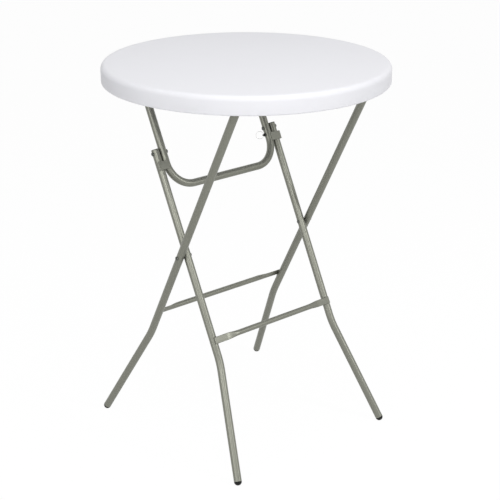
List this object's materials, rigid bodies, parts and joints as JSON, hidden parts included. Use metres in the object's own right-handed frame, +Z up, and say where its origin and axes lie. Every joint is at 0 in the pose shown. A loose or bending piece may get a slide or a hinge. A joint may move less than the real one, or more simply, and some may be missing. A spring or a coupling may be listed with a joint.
{
  "type": "folding high table",
  "caption": "Round bar-height folding table: thin white plastic top with a deep rolled rim on crossed grey tubular legs, a hinged brace and a pull-pin lock.",
  "frame": {"origin": "on the floor, under the middle of the round tabletop", "axes": "+Z up, Y along the pivot rods (the folding axis), X across the scissor; the inner frame stands on the +X side"},
  "size_m": [0.8, 0.8, 1.1],
  "materials": {
    "table_plastic": "white blow-moulded polyethylene, satin with a very fine grain",
    "powder_coat": "grey powder coat, satin",
    "dark_steel": "dark plated steel",
    "zinc_steel": "bright zinc plating",
    "black_rubber": "black moulded plastic or rubber",
    "pale_wire": "pale plated spring wire"
  },
  "bodies": {
    "tabletop": {"brace_bracket_left": "dark_steel", "brace_bracket_right": "dark_steel", "brace_pivot_rod": "zinc_steel", "brace_rod_cap_left": "dark_steel", "brace_rod_cap_right": "dark_steel", "bracket_screw_1": "zinc_steel", "bracket_screw_2": "zinc_steel", "bracket_screw_3": "zinc_steel", "bracket_screw_4": "zinc_steel", "bracket_screw_5": "zinc_steel", "bracket_screw_6": "zinc_steel", "bracket_screw_7": "zinc_steel", "bracket_screw_8": "zinc_steel", "outer_bracket_left": "dark_steel", "outer_bracket_right": "dark_steel", "outer_pivot_rod": "zinc_steel", "outer_rod_cap_left": "dark_steel", "outer_rod_cap_right": "dark_steel", "tabletop": "table_plastic"},
    "outer_frame": {"crossing_screw_left": "zinc_steel", "crossing_screw_right": "zinc_steel", "crossing_spacer_left": "dark_steel", "crossing_spacer_right": "dark_steel", "outer_crossbar": "powder_coat", "outer_foot_left": "black_rubber", "outer_foot_right": "black_rubber", "outer_leg_left": "powder_coat", "outer_leg_right": "powder_coat"},
    "brace": {"brace_bolt_left": "zinc_steel", "brace_bolt_right": "zinc_steel", "brace_nut_left": "zinc_steel", "brace_nut_right": "zinc_steel", "brace_spacer_left": "dark_steel", "brace_spacer_right": "dark_steel", "brace_tube": "powder_coat", "lock_barrel": "dark_steel", "saddle_left": "powder_coat", "saddle_right": "powder_coat"},
    "inner_frame": {"inner_crossbar": "powder_coat", "inner_foot_left": "black_rubber", "inner_foot_right": "black_rubber", "inner_leg_left": "powder_coat", "inner_leg_right": "powder_coat", "inner_top_plug_left": "black_rubber", "inner_top_plug_right": "black_rubber", "sleeve_nut_left": "zinc_steel", "sleeve_nut_right": "zinc_steel"},
    "lock_pin": {"lock_pin": "dark_steel"},
    "lock_ring": {"lock_ring": "pale_wire"}
  },
  "joints": [
    {"name": "outer_fold", "type": "hinge", "parent": "tabletop", "child": "outer_frame", "pos_m": [0.25505, 0, 1.066], "axis": [0, 1, 0], "range_deg": [0, 59.32]},
    {"name": "brace_fold", "type": "hinge", "parent": "tabletop", "child": "brace", "pos_m": [-0.24745, 0, 1.066], "axis": [0, 1, 0], "range_deg": [-63.16, 0]},
    {"name": "inner_fold", "type": "hinge", "parent": "brace", "child": "inner_frame", "pos_m": [-0.135, 0, 0.84384], "axis": [0, 1, 0], "range_deg": [0, 174.36]},
    {"name": "lock_pull", "type": "slide", "parent": "brace", "child": "lock_pin", "axis": [0, -1, 0], "range_m": [0, 0.008], "stiffness_N_per_m": 400, "springref_m": -0.01},
    {"name": "ring_swing", "type": "hinge", "parent": "lock_pin", "child": "lock_ring", "pos_m": [-0.12597, 0.1753, 0.82599], "axis": [0, 0, 1], "range_deg": [-39, 80]}
  ],
  "couplings": [
    {"joint": "brace_fold", "follows": "outer_fold", "ratio": -1.0645},
    {"joint": "inner_fold", "follows": "outer_fold", "ratio": 2.939}
  ]
}
